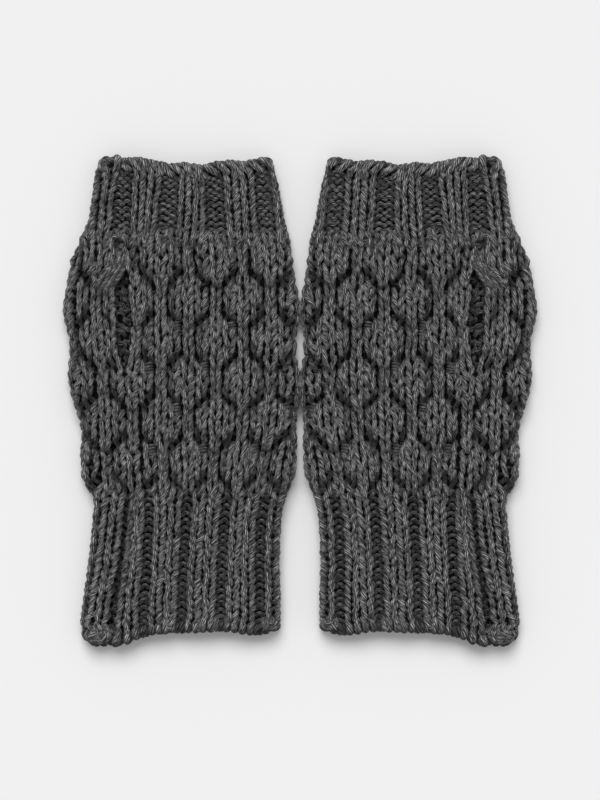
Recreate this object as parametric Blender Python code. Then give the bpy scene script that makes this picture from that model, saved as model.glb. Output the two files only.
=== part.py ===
"""Pair of knitted fingerless arm warmers, lying flat side by side.

Each warmer is a flattened tube of thick knitting, worked in one piece: a wrist rib, a hand
in bubble stitch with a thumb slit, and a finger rib. The hand is a cut tube, so it is made
as an upper and an under layer that meet along the two folds. The right warmer mirrors the
left one.

Frame: +X across the pair, +Y from wrist to fingers, +Z up from the table; metres.
"""
import math
from collections import namedtuple

import bmesh
import bpy

MM = 0.001

# ---------------------------------------------------------------- driving sizes, millimetres
WALL = 4.2                  # one layer of the knitting
HOLLOW = 1.2                # what is left open between the two layers when it lies flat
SEAM_GAP = 0.3              # clearance between neighbouring solids
MID_HEIGHT = WALL + HOLLOW / 2
WRIST_SEAM_Y = -37.8        # where the wrist rib ends and the hand begins
FINGER_SEAM_Y = 66.2        # where the hand ends and the finger rib begins
WRIST_EDGE_Y = -96.3        # mean line of the cast-on edge
FINGER_EDGE_Y = 98.6        # mean line of the bound-off edge

# The silhouette, as distances from the plane between the two warmers.
Outline = namedtuple("Outline", "y outer inner")
OUTLINE = (
    Outline(100.7, 82.0, 12.2),
    Outline(90.0, 84.3, 9.2),
    Outline(73.6, 87.1, 6.4),
    Outline(65.4, 90.0, 4.3),
    Outline(57.2, 94.2, 2.7),
    Outline(44.9, 95.3, 1.8),
    Outline(36.7, 96.1, 1.0),
    Outline(24.4, 94.6, 1.5),
    Outline(8.0, 94.1, 0.9),
    Outline(-4.3, 91.6, 0.9),
    Outline(-14.0, 89.5, 1.4),
    Outline(-30.0, 88.8, 2.7),
    Outline(-38.0, 86.6, 5.2),
    Outline(-49.4, 85.5, 7.6),
    Outline(-65.8, 87.0, 8.4),
    Outline(-82.2, 89.2, 8.2),
    Outline(-92.0, 90.0, 8.1),
    Outline(-100.7, 88.0, 10.5),
)

# The two open ends wave: height of the edge by how far across it lies, outer fold to inner.
Wave = namedtuple("Wave", "across y")
WRIST_WAVE = (
    Wave(0.00, -95.6),
    Wave(0.04, -99.0),
    Wave(0.12, -100.65),
    Wave(0.20, -100.2),
    Wave(0.28, -97.2),
    Wave(0.36, -95.9),
    Wave(0.45, -94.8),
    Wave(0.60, -94.7),
    Wave(0.72, -94.1),
    Wave(0.89, -95.9),
    Wave(0.96, -94.9),
    Wave(1.00, -92.6),
)
FINGER_WAVE = (
    Wave(0.00, 98.0),
    Wave(0.07, 100.65),
    Wave(0.15, 99.1),
    Wave(0.22, 99.8),
    Wave(0.33, 98.3),
    Wave(0.40, 96.9),
    Wave(0.49, 97.5),
    Wave(0.60, 96.2),
    Wave(0.67, 97.8),
    Wave(0.77, 98.5),
    Wave(0.83, 97.9),
    Wave(0.97, 99.8),
    Wave(1.00, 97.6),
)
WAVE_FADE = 32.0            # how far into the rib the edge's wave dies out

# Purl gutters between the knit bands of the ribs: place across at each end, and section.
Gutter = namedtuple("Gutter", "hand_end edge_end half_width depth")
WRIST_GUTTERS = (
    Gutter(0.200, 0.133, 2.3, 2.3),
    Gutter(0.300, 0.318, 2.1, 1.9),
    Gutter(0.497, 0.505, 2.1, 1.9),
    Gutter(0.700, 0.700, 2.1, 1.9),
    Gutter(0.892, 0.900, 2.1, 1.9),
)
FINGER_GUTTERS = (
    Gutter(0.180, 0.145, 3.6, 1.9),
    Gutter(0.400, 0.425, 3.6, 1.9),
    Gutter(0.650, 0.660, 3.6, 1.9),
    Gutter(0.900, 0.925, 3.0, 1.9),
)
GUTTER_FLOOR = 0.5          # flat part of a gutter, as a share of its width
BAND_CROWN = 0.5            # how far a knit band rises between two gutters

# Rounded lip and thickened edge row of an open end, by distance in from the edge.
Lip = namedtuple("Lip", "inward swell")
CAST_ON_LIP = (
    Lip(0.0, -1.5),
    Lip(0.8, -0.5),
    Lip(2.0, 0.3),
    Lip(4.0, 0.6),
    Lip(6.5, 0.0),
)
BIND_OFF_LIP = (
    Lip(0.0, -1.5),
    Lip(0.8, -0.4),
    Lip(2.2, 0.7),
    Lip(4.6, 0.7),
    Lip(6.4, -0.3),
    Lip(8.0, 0.0),
)

# Bubble stitch: rows of raised bubbles, each row shifted half a repeat from the next.
BUBBLE_PITCH = 22.55        # centre to centre across
BUBBLE_ROW = 16.73          # row to row
BUBBLE_REACH_X = 9.6
BUBBLE_REACH_Y = 11.4
BUBBLE_HEIGHT = 2.0
BUBBLE_X = 45.7             # one bubble's centre, from the middle plane
BUBBLE_Y = 39.6

# Thumb slit: its two lips, as distances from the middle plane.
SLIT = (
    Outline(54.9, 71.9, 71.9),
    Outline(51.0, 74.5, 71.0),
    Outline(47.4, 75.9, 70.4),
    Outline(40.8, 75.7, 70.1),
    Outline(33.4, 75.3, 69.2),
    Outline(26.4, 75.1, 69.3),
    Outline(18.7, 74.1, 70.0),
    Outline(12.6, 72.0, 72.0),
)
SLIT_CALM_NEAR = 2.0        # the bubbles flatten towards the slit between these distances
SLIT_CALM_FAR = 6.5
# The row of stitches that folds over at the slit's upper outer corner.
STRIP_TOP = (71.6, 60.5)
STRIP_FOOT = (80.6, 43.7)
STRIP_HALF_WIDTH = 3.6
STRIP_HEIGHT = 1.3

# Mesh fineness
FOLD_STEPS = 4              # points round a quarter of a fold
UNDER_STEPS = 5             # points across the flat underside
INSIDE_STEPS = 5            # points across one face of the inside
HAND_COLUMNS = 36           # points across the bubbles
HAND_STEP = 3.35            # row spacing on the bubbles
PLAIN_STEP = 12.0           # row spacing where nothing is raised

YARN_COLOUR = (0.058, 0.058, 0.060, 1.0)
YARN_ROUGHNESS = 0.9


# ---------------------------------------------------------------- small helpers
def read_table(table, key, value, at):
    """Value at a place in a table, read straight between rows; the key may rise or fall."""
    rows = sorted(table, key=lambda row: getattr(row, key))
    if at <= getattr(rows[0], key):
        return getattr(rows[0], value)
    for low, high in zip(rows, rows[1:]):
        start = getattr(low, key)
        end = getattr(high, key)
        if at <= end:
            share = (at - start) / (end - start)
            return getattr(low, value) + share * (getattr(high, value) - getattr(low, value))
    return getattr(rows[-1], value)


def ease(share):
    share = min(1.0, max(0.0, share))
    return share * share * (3 - 2 * share)


def spread(start, end, count):
    return [start + (end - start) * step / (count - 1) for step in range(count)]


# ---------------------------------------------------------------- the flattened tube
def tube_point(y, lateral, face, inset, radius, swell):
    """A point of the tube's skin. Lateral is measured along the skin from the middle plane,
    so that it runs on round the folds; face is +1 above and -1 below."""
    crown_outer = read_table(OUTLINE, "y", "outer", y) - inset - radius
    crown_inner = read_table(OUTLINE, "y", "inner", y) + inset + radius
    reach = radius + swell
    if lateral > crown_outer:
        angle = (lateral - crown_outer) / radius
        return crown_outer + reach * math.sin(angle), MID_HEIGHT + face * reach * math.cos(angle)
    if lateral < crown_inner:
        angle = (crown_inner - lateral) / radius
        return crown_inner - reach * math.sin(angle), MID_HEIGHT + face * reach * math.cos(angle)
    return lateral, MID_HEIGHT + face * reach


def fold_laterals(y, inset, radius, clearance):
    """Laterals of the outer and inner fold lines, held back by a clearance."""
    quarter = radius * math.pi / 2 - clearance
    crown_outer = read_table(OUTLINE, "y", "outer", y) - inset - radius
    crown_inner = read_table(OUTLINE, "y", "inner", y) + inset + radius
    return crown_outer, crown_inner, crown_outer + quarter, crown_inner - quarter


def with_folds(flat_laterals, y, inset, radius, clearance):
    """Laterals for one face: round the outer fold, across the flat, round the inner fold."""
    crown_outer, crown_inner, start, end = fold_laterals(y, inset, radius, clearance)
    outer_fold = spread(start, crown_outer, FOLD_STEPS + 1)[:-1]
    inner_fold = spread(crown_inner, end, FOLD_STEPS + 1)[1:]
    return outer_fold + [crown_outer] + flat_laterals + [crown_inner] + inner_fold


def plain_laterals(y, inset, radius, clearance, steps):
    crown_outer, crown_inner, _, _ = fold_laterals(y, inset, radius, clearance)
    flat = spread(crown_outer, crown_inner, steps + 2)[1:-1]
    return with_folds(flat, y, inset, radius, clearance)


def across_share(y, lateral):
    outer = read_table(OUTLINE, "y", "outer", y)
    inner = read_table(OUTLINE, "y", "inner", y)
    return min(1.0, max(0.0, (outer - lateral) / (outer - inner)))


# ---------------------------------------------------------------- meshes
def add_row(mesh, side, points):
    return [mesh.verts.new((side * x * MM, y * MM, z * MM)) for x, y, z in points]


def loft(mesh, rows, closed):
    for row, following in zip(rows, rows[1:]):
        count = len(row)
        for place in range(count if closed else count - 1):
            after = (place + 1) % count
            mesh.faces.new((row[place], row[after], following[after], following[place]))


def join_edges(mesh, first, second):
    """Close the strip between two edges that may have unlike numbers of points."""
    i = 0
    j = 0
    while i < len(first) - 1 or j < len(second) - 1:
        next_i = (i + 1) / (len(first) - 1) if i < len(first) - 1 else 2.0
        next_j = (j + 1) / (len(second) - 1) if j < len(second) - 1 else 2.0
        if next_i <= next_j:
            mesh.faces.new((first[i], first[i + 1], second[j]))
            i += 1
        else:
            mesh.faces.new((first[i], second[j + 1], second[j]))
            j += 1


def make_node(name, mesh, material, collection):
    bmesh.ops.triangulate(mesh, faces=mesh.faces[:])
    bmesh.ops.recalc_face_normals(mesh, faces=mesh.faces[:])
    data = bpy.data.meshes.new(name)
    mesh.to_mesh(data)
    mesh.free()
    data.shade_smooth()
    data.set_sharp_from_angle(angle=math.radians(50))
    data.materials.append(material)
    node = bpy.data.objects.new(name, data)
    collection.objects.link(node)
    return node


def yarn_material(name):
    material = bpy.data.materials.new(name)
    material.use_nodes = True
    shader = material.node_tree.nodes["Principled BSDF"]
    shader.inputs["Base Color"].default_value = YARN_COLOUR
    shader.inputs["Roughness"].default_value = YARN_ROUGHNESS
    shader.inputs["Metallic"].default_value = 0.0
    material.diffuse_color = YARN_COLOUR
    return material


# ---------------------------------------------------------------- the ribs
def rib_stops(y, share, gutters):
    """Laterals across a rib's upper face and the height of each, for one row."""
    outer = read_table(OUTLINE, "y", "outer", y)
    inner = read_table(OUTLINE, "y", "inner", y)
    laterals = []
    heights = []
    bank_outer = outer - MID_HEIGHT
    for gutter in gutters:
        place = gutter.hand_end + share * (gutter.edge_end - gutter.hand_end)
        centre = outer - place * (outer - inner)
        floor = gutter.half_width * GUTTER_FLOOR
        near_bank = centre + gutter.half_width
        laterals += [(bank_outer + near_bank) / 2]
        heights += [BAND_CROWN]
        laterals += [near_bank, centre + floor, centre - floor, centre - gutter.half_width]
        heights += [0.0, -gutter.depth, -gutter.depth, 0.0]
        bank_outer = centre - gutter.half_width
    return laterals, heights


def rib_row(distance, edge_y, inward, wave, gutters, lip, rib_length):
    """One closed row round a rib, at a distance in from its open edge."""
    y = edge_y + inward * distance
    swell = read_table(lip, "inward", "swell", distance)
    share = 1.0 - distance / rib_length
    laterals, heights = rib_stops(y, share, gutters)
    over = with_folds(laterals, y, 0.0, MID_HEIGHT, 0.0)
    over_heights = [0.0] * (FOLD_STEPS + 1) + heights + [0.0] * (FOLD_STEPS + 1)
    under = plain_laterals(y, 0.0, MID_HEIGHT, 0.0, UNDER_STEPS)[1:-1]
    fade = 1.0 - ease(distance / WAVE_FADE)
    points = []
    for lateral, height in zip(over, over_heights):
        x, z = tube_point(y, lateral, 1, 0.0, MID_HEIGHT, height + swell)
        points.append((x, waved(y, lateral, edge_y, wave, fade), z))
    for lateral in reversed(under):
        x, z = tube_point(y, lateral, -1, 0.0, MID_HEIGHT, min(0.0, swell))
        points.append((x, waved(y, lateral, edge_y, wave, fade), z))
    return points


def waved(y, lateral, edge_y, wave, fade):
    return y + fade * (read_table(wave, "across", "y", across_share(y, lateral)) - edge_y)


def hollow_row(y, edge_y, wave, fade):
    """One closed row round the inside of the tube."""
    radius = HOLLOW / 2
    laterals = plain_laterals(y, WALL, radius, 0.0, INSIDE_STEPS)
    places = [(lateral, 1) for lateral in laterals]
    places += [(lateral, -1) for lateral in reversed(laterals[1:-1])]
    points = []
    for lateral, face in places:
        x, z = tube_point(y, lateral, face, WALL, radius, 0.0)
        points.append((x, waved(y, lateral, edge_y, wave, fade), z))
    return points


def rib_distances(lip, rib_length):
    distances = [row.inward for row in lip]
    reached = distances[-1]
    steps = max(1, round((rib_length - reached) / PLAIN_STEP))
    return distances + spread(reached, rib_length, steps + 1)[1:]


def make_rib(name, side, edge_y, seam_y, wave, gutters, lip, material, collection):
    """A closed tube of ribbing from its open edge to the seam with the hand."""
    inward = 1 if seam_y > edge_y else -1
    rib_length = abs(seam_y - edge_y) - SEAM_GAP / 2
    mesh = bmesh.new()
    distances = rib_distances(lip, rib_length)
    outside = [
        add_row(mesh, side, rib_row(distance, edge_y, inward, wave, gutters, lip, rib_length))
        for distance in distances
    ]
    inside = []
    for distance in distances:
        fade = 1.0 - ease(distance / WAVE_FADE)
        y = edge_y + inward * distance
        inside.append(add_row(mesh, side, hollow_row(y, edge_y, wave, fade)))
    loft(mesh, outside, closed=True)
    loft(mesh, inside, closed=True)
    for end in (0, -1):
        top_count = len(outside[end]) - UNDER_STEPS - 2 * FOLD_STEPS
        top_inside = len(inside[end]) - INSIDE_STEPS - 2 * FOLD_STEPS
        join_edges(mesh, outside[end][:top_count], inside[end][:top_inside])
        join_edges(
            mesh,
            outside[end][top_count - 1:] + outside[end][:1],
            inside[end][top_inside - 1:] + inside[end][:1],
        )
    return make_node(name, mesh, material, collection)


# ---------------------------------------------------------------- the hand
def bubble_height(lateral, y):
    """How far the bubble stitch stands up at a place on the upper face."""
    tallest = 0.0
    row = round((y - BUBBLE_Y) / BUBBLE_ROW)
    for near_row in (row - 1, row, row + 1):
        shift = BUBBLE_PITCH / 2 if near_row % 2 else 0.0
        column = round((lateral - BUBBLE_X - shift) / BUBBLE_PITCH)
        across = (lateral - BUBBLE_X - shift - column * BUBBLE_PITCH) / BUBBLE_REACH_X
        along = (y - BUBBLE_Y - near_row * BUBBLE_ROW) / BUBBLE_REACH_Y
        inside = 1.0 - across * across - along * along
        if inside > 0.0:
            tallest = max(tallest, BUBBLE_HEIGHT * math.sqrt(inside))
    return tallest


def distance_to_slit(lateral, y):
    top = SLIT[0].y
    foot = SLIT[-1].y
    held = min(top, max(foot, y))
    outer = read_table(SLIT, "y", "outer", held)
    inner = read_table(SLIT, "y", "inner", held)
    aside = max(0.0, lateral - outer, inner - lateral)
    return math.hypot(aside, y - held)


def strip_height(lateral, y):
    """The folded-over row of stitches: a rounded ridge along a slanting line."""
    along_x = STRIP_FOOT[0] - STRIP_TOP[0]
    along_y = STRIP_FOOT[1] - STRIP_TOP[1]
    span = along_x * along_x + along_y * along_y
    share = ((lateral - STRIP_TOP[0]) * along_x + (y - STRIP_TOP[1]) * along_y) / span
    share = min(1.0, max(0.0, share))
    gap = math.hypot(
        lateral - STRIP_TOP[0] - share * along_x, y - STRIP_TOP[1] - share * along_y
    )
    return STRIP_HEIGHT * ease(1.0 - gap / STRIP_HALF_WIDTH)


def hand_height(lateral, y):
    calm = ease(
        (distance_to_slit(lateral, y) - SLIT_CALM_NEAR) / (SLIT_CALM_FAR - SLIT_CALM_NEAR)
    )
    return calm * bubble_height(lateral, y) + strip_height(lateral, y)


def fold_weight(y, lateral):
    """Bubbles die away below the widest line of a fold, where the two layers meet."""
    _, _, start, end = fold_laterals(y, 0.0, MID_HEIGHT, 0.0)
    quarter = MID_HEIGHT * math.pi / 2
    return ease(min(start - lateral, lateral - end) / quarter)


def hand_rows(step):
    start = WRIST_SEAM_Y + SEAM_GAP / 2
    end = FINGER_SEAM_Y - SEAM_GAP / 2
    return spread(start, end, round((end - start) / step) + 1)


def hand_layer(mesh, side, face):
    """Outside and inside of one layer, as rows from the outer fold to the inner fold."""
    clearance = SEAM_GAP / 2
    raised = face > 0
    outside = []
    for y in hand_rows(HAND_STEP if raised else PLAIN_STEP):
        columns = HAND_COLUMNS if raised else UNDER_STEPS
        points = []
        for lateral in plain_laterals(y, 0.0, MID_HEIGHT, clearance, columns):
            height = hand_height(lateral, y) * fold_weight(y, lateral) if raised else 0.0
            x, z = tube_point(y, lateral, face, 0.0, MID_HEIGHT, height)
            points.append((x, y, z))
        outside.append(add_row(mesh, side, points))
    inside = []
    for y in hand_rows(PLAIN_STEP):
        points = []
        for lateral in plain_laterals(y, WALL, HOLLOW / 2, clearance, INSIDE_STEPS):
            x, z = tube_point(y, lateral, face, WALL, HOLLOW / 2, 0.0)
            points.append((x, y, z))
        inside.append(add_row(mesh, side, points))
    loft(mesh, outside, closed=False)
    loft(mesh, inside, closed=False)
    join_edges(mesh, outside[0], inside[0])
    join_edges(mesh, outside[-1], inside[-1])
    join_edges(mesh, [row[0] for row in outside], [row[0] for row in inside])
    join_edges(mesh, [row[-1] for row in outside], [row[-1] for row in inside])


def make_slit_cutter(name, side, cutters):
    """A lens-shaped prism that cuts the thumb slit through the upper layer."""
    lips = [(row.outer, row.y) for row in SLIT]
    lips += [(row.inner, row.y) for row in reversed(SLIT[1:-1])]
    mesh = bmesh.new()
    floor = [mesh.verts.new((side * x * MM, y * MM, MID_HEIGHT * MM)) for x, y in lips]
    sheet = mesh.faces.new(floor)
    raised = bmesh.ops.extrude_face_region(mesh, geom=[sheet])["geom"]
    lifted = [item for item in raised if isinstance(item, bmesh.types.BMVert)]
    bmesh.ops.translate(mesh, verts=lifted, vec=(0.0, 0.0, 3 * MID_HEIGHT * MM))
    bmesh.ops.recalc_face_normals(mesh, faces=mesh.faces[:])
    data = bpy.data.meshes.new(name)
    mesh.to_mesh(data)
    mesh.free()
    cutter = bpy.data.objects.new(name, data)
    cutter.hide_render = True
    cutter.display_type = "WIRE"
    cutters.objects.link(cutter)
    return cutter


def make_hand(prefix, side, material, collection, cutters):
    under = bmesh.new()
    hand_layer(under, side, -1)
    make_node(prefix + "_hand_under", under, material, collection)
    top = bmesh.new()
    hand_layer(top, side, 1)
    upper = make_node(prefix + "_hand_top", top, material, collection)
    slit = upper.modifiers.new("thumb_slit", "BOOLEAN")
    slit.operation = "DIFFERENCE"
    slit.solver = "EXACT"
    slit.object = make_slit_cutter(prefix + "_thumb_slit_cutter", side, cutters)


# ---------------------------------------------------------------- the pair
def new_collection(name):
    collection = bpy.data.collections.new(name)
    bpy.context.scene.collection.children.link(collection)
    return collection


def make_warmer(prefix, side, collection, cutters):
    wool = yarn_material(prefix + "_yarn")
    make_rib(
        prefix + "_wrist_rib", side, WRIST_EDGE_Y, WRIST_SEAM_Y,
        WRIST_WAVE, WRIST_GUTTERS, CAST_ON_LIP, wool, collection,
    )
    make_hand(prefix, side, wool, collection, cutters)
    make_rib(
        prefix + "_finger_rib", side, FINGER_EDGE_Y, FINGER_SEAM_Y,
        FINGER_WAVE, FINGER_GUTTERS, BIND_OFF_LIP, wool, collection,
    )


def main():
    for thing in list(bpy.data.objects):
        bpy.data.objects.remove(thing, do_unlink=True)
    warmers = new_collection("arm_warmers")
    cutters = new_collection("cutters")
    for prefix, side in (("left", -1), ("right", 1)):
        make_warmer(prefix, side, warmers, cutters)


main()
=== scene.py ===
import math
import random
from collections import namedtuple

import bmesh
import bpy
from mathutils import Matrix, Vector, noise


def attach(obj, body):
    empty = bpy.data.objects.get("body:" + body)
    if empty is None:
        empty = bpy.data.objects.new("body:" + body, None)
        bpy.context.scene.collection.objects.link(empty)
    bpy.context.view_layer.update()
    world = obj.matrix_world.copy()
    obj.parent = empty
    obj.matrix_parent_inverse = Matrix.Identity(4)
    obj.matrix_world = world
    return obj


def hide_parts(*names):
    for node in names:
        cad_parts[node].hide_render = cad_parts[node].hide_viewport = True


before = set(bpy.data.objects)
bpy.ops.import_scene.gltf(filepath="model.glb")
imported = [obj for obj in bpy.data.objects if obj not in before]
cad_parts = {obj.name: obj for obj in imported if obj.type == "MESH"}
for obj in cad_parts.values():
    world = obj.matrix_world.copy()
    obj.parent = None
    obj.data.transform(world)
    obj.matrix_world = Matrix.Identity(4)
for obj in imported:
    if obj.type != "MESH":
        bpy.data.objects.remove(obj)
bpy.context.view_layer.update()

# ---------------------------------------------------------------- camera
# The pair lies flat and is looked at from straight above, from far enough off that the
# sides of the folds stay hidden.
VIEW_HEIGHT = 1.6           # lens above the surface
VIEW_PLANE = 0.005          # half the cloth's height
VIEW_LONG_SIDE = 0.328      # what the view's long side takes in there
SENSOR = 36.0

lens = bpy.data.cameras.new("camera")
lens.sensor_width = SENSOR
lens.lens = SENSOR * (VIEW_HEIGHT - VIEW_PLANE) / VIEW_LONG_SIDE
lens.clip_end = 10.0
camera = bpy.data.objects.new("camera", lens)
camera.location = (0.0, 0.0, VIEW_HEIGHT)
bpy.context.scene.collection.objects.link(camera)
bpy.context.scene.camera = camera

# ---------------------------------------------------------------- floor and light
# A pale, matt table top under a large soft light that stands a little beyond the finger
# ends, and a bright room all round.
FLOOR_SIZE = 6.0
FLOOR_COLOUR = (0.83, 0.83, 0.83, 1.0)
ROOM_STRENGTH = 0.52
LAMP_STRENGTH = 2.1
LAMP_SOFTNESS = math.radians(38)
LAMP_TILT = math.radians(-36)
LAMP_TURN = math.radians(8)


def flat_square(name, size, level):
    mesh = bmesh.new()
    bmesh.ops.create_grid(mesh, x_segments=1, y_segments=1, size=size / 2)
    bmesh.ops.translate(mesh, verts=mesh.verts, vec=(0.0, 0.0, level))
    data = bpy.data.meshes.new(name)
    mesh.to_mesh(data)
    mesh.free()
    square = bpy.data.objects.new(name, data)
    bpy.context.scene.collection.objects.link(square)
    return square


def table_paint():
    material = bpy.data.materials.new("table_paint")
    material.use_nodes = True
    shader = material.node_tree.nodes["Principled BSDF"]
    shader.inputs["Base Color"].default_value = FLOOR_COLOUR
    shader.inputs["Roughness"].default_value = 0.9
    shader.inputs["Specular IOR Level"].default_value = 0.1
    return material


floor = flat_square("table_top", FLOOR_SIZE, 0.0)
floor.data.materials.append(table_paint())

room = bpy.data.worlds.new("room")
room.use_nodes = True
room.node_tree.nodes["Background"].inputs["Color"].default_value = (1.0, 1.0, 1.0, 1.0)
room.node_tree.nodes["Background"].inputs["Strength"].default_value = ROOM_STRENGTH
bpy.context.scene.world = room
bpy.context.scene.view_settings.view_transform = "Standard"

lamp_data = bpy.data.lights.new("lamp", "SUN")
lamp_data.energy = LAMP_STRENGTH
lamp_data.angle = LAMP_SOFTNESS
lamp = bpy.data.objects.new("lamp", lamp_data)
lamp.rotation_euler = (LAMP_TILT, 0.0, LAMP_TURN)
bpy.context.scene.collection.objects.link(lamp)

# ---------------------------------------------------------------- the flattened tubes
# Each warmer is one knitted tube pressed flat: two layers, joined by a soft fold down each
# side. Sizes here are in millimetres; distances across run from the middle plane between
# the two warmers, and the right one is the left one's mirror image.
MM = 0.001
SIDES = (("left", -1), ("right", 1))
MIDDLE = 4.8                # height of the folds' widest line
FOLD = 2.7                  # radius of a fold, at the middle of the cloth
INSET = 1.75                # from the cloth's outside to its middle
WRIST_SEAM = -37.8          # where wrist rib and hand meet
FINGER_SEAM = 66.2          # where hand and finger rib meet
WRIST_EDGE = -96.3
FINGER_EDGE = 98.6

Outline = namedtuple("Outline", "y outer inner")
OUTLINE = (                 # the two long edges, from the wrist end to the finger end
    Outline(-100.7, 88.0, 10.5),
    Outline(-92.0, 90.0, 8.1),
    Outline(-82.2, 89.2, 8.2),
    Outline(-65.8, 87.0, 8.4),
    Outline(-49.4, 85.5, 7.6),
    Outline(-38.0, 86.6, 5.2),
    Outline(-30.0, 88.8, 2.7),
    Outline(-14.0, 89.5, 1.4),
    Outline(-4.3, 91.6, 0.9),
    Outline(8.0, 94.1, 0.9),
    Outline(24.4, 94.6, 1.5),
    Outline(36.7, 96.1, 1.0),
    Outline(44.9, 95.3, 1.8),
    Outline(57.2, 94.2, 2.7),
    Outline(65.4, 90.0, 4.3),
    Outline(73.6, 87.1, 6.4),
    Outline(90.0, 84.3, 9.2),
    Outline(100.7, 82.0, 12.2),
)


Wave = namedtuple("Wave", "across y")
WRIST_WAVE = (              # the open ends are wavy; 0 is at the outer edge and 1 at the inner
    Wave(0.00, -95.6),
    Wave(0.04, -99.0),
    Wave(0.12, -100.65),
    Wave(0.20, -100.2),
    Wave(0.28, -97.2),
    Wave(0.36, -95.9),
    Wave(0.45, -94.8),
    Wave(0.60, -94.7),
    Wave(0.72, -94.1),
    Wave(0.89, -95.9),
    Wave(0.96, -94.9),
    Wave(1.00, -92.6),
)
FINGER_WAVE = (
    Wave(0.00, 98.0),
    Wave(0.07, 100.65),
    Wave(0.15, 99.1),
    Wave(0.22, 99.8),
    Wave(0.33, 98.3),
    Wave(0.40, 96.9),
    Wave(0.49, 97.5),
    Wave(0.60, 96.2),
    Wave(0.67, 97.8),
    Wave(0.77, 98.5),
    Wave(0.83, 97.9),
    Wave(0.97, 99.8),
    Wave(1.00, 97.6),
)
WAVE_FADE = 32.0            # how far in from an open edge its wave dies out

# The side seam runs up the upper layer and is left open for the thumb between these two.
SLIT_FOOT = 12.6
SLIT_TOP = 54.9
SEAM = (
    Outline(-96.3, 78.5, 78.5),
    Outline(-82.2, 75.6, 75.6),
    Outline(-67.8, 73.6, 73.6),
    Outline(-57.6, 72.2, 72.2),
    Outline(-38.0, 70.3, 70.3),
    Outline(SLIT_FOOT, 72.0, 72.0),
    Outline(18.7, 74.1, 70.0),
    Outline(26.4, 75.1, 69.3),
    Outline(33.4, 75.3, 69.2),
    Outline(40.8, 75.7, 70.1),
    Outline(47.4, 75.9, 70.4),
    Outline(51.0, 74.5, 71.0),
    Outline(SLIT_TOP, 71.9, 71.9),
    Outline(66.2, 73.4, 73.4),
    Outline(98.6, 72.1, 72.1),
)


def between(rows, key, value, at):
    """A column of a rising table, read between its rows."""
    if at <= getattr(rows[0], key):
        return getattr(rows[0], value)
    for low, high in zip(rows, rows[1:]):
        if at <= getattr(high, key):
            share = (at - getattr(low, key)) / (getattr(high, key) - getattr(low, key))
            return getattr(low, value) + share * (getattr(high, value) - getattr(low, value))
    return getattr(rows[-1], value)


def ease(share):
    share = min(1.0, max(0.0, share))
    return share * share * (3.0 - 2.0 * share)


def mix(start, end, share):
    return start + (end - start) * share


def crowns(y):
    """Where the flat layers end and the two folds begin, as distances across."""
    outer = between(OUTLINE, "y", "outer", y) - INSET - FOLD
    inner = between(OUTLINE, "y", "inner", y) + INSET + FOLD
    return outer, inner


def girth(y):
    outer, inner = crowns(y)
    return 2.0 * (outer - inner) + 2.0 * math.pi * FOLD


def on_tube(side, y, round_, out):
    """A point on the tube. It is reached by going round from the outer fold, over the upper
    layer, the inner fold and the lower layer, and then out from the middle of the cloth."""
    outer, inner = crowns(y)
    flat = outer - inner
    bend = math.pi * FOLD
    round_ = round_ % (2.0 * flat + 2.0 * bend)
    reach = FOLD + out
    if round_ <= flat:
        across, height = outer - round_, MIDDLE + reach
    elif round_ <= flat + bend:
        angle = (round_ - flat) / FOLD
        across, height = inner - reach * math.sin(angle), MIDDLE + reach * math.cos(angle)
    elif round_ <= 2.0 * flat + bend:
        across, height = inner + round_ - flat - bend, MIDDLE - reach
    else:
        angle = (round_ - 2.0 * flat - bend) / FOLD
        across, height = outer + reach * math.sin(angle), MIDDLE - reach * math.cos(angle)
    return Vector((side * across, y, height)) * MM


def seam_ends(y):
    """Where the cloth starts and ends at the seam, going round the tube."""
    outer, _ = crowns(y)
    start = outer - between(SEAM, "y", "inner", y)
    end = outer - between(SEAM, "y", "outer", y) + girth(y)
    return start, end


def across_of(y, round_):
    """Distance across from the middle plane of a place round the tube."""
    outer, inner = crowns(y)
    flat = outer - inner
    bend = math.pi * FOLD
    round_ = round_ % (2.0 * flat + 2.0 * bend)
    if round_ <= flat:
        return outer - round_
    if round_ <= flat + bend:
        return inner - FOLD * math.sin((round_ - flat) / FOLD)
    if round_ <= 2.0 * flat + bend:
        return inner + round_ - flat - bend
    return outer + FOLD * math.sin((round_ - 2.0 * flat - bend) / FOLD)


def waved(y, round_):
    """Carry the open ends' waves into the cloth next to them."""
    outer = between(OUTLINE, "y", "outer", y)
    inner = between(OUTLINE, "y", "inner", y)
    share = (outer - across_of(y, round_)) / (outer - inner)
    wrist = 1.0 - ease((y - WRIST_EDGE) / WAVE_FADE)
    finger = 1.0 - ease((FINGER_EDGE - y) / WAVE_FADE)
    y += wrist * (between(WRIST_WAVE, "across", "y", share) - WRIST_EDGE)
    return y + finger * (between(FINGER_WAVE, "across", "y", share) - FINGER_EDGE)


def above(y, round_):
    """1 on the upper layer, 0 on the lower one, and between the two round the folds."""
    outer, inner = crowns(y)
    flat = outer - inner
    bend = math.pi * FOLD
    round_ = round_ % (2.0 * flat + 2.0 * bend)
    if round_ <= flat:
        return 1.0
    if round_ <= flat + bend:
        return ease(1.0 - (round_ - flat) / bend)
    if round_ <= 2.0 * flat + bend:
        return 0.0
    return ease((round_ - 2.0 * flat - bend) / bend)


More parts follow.
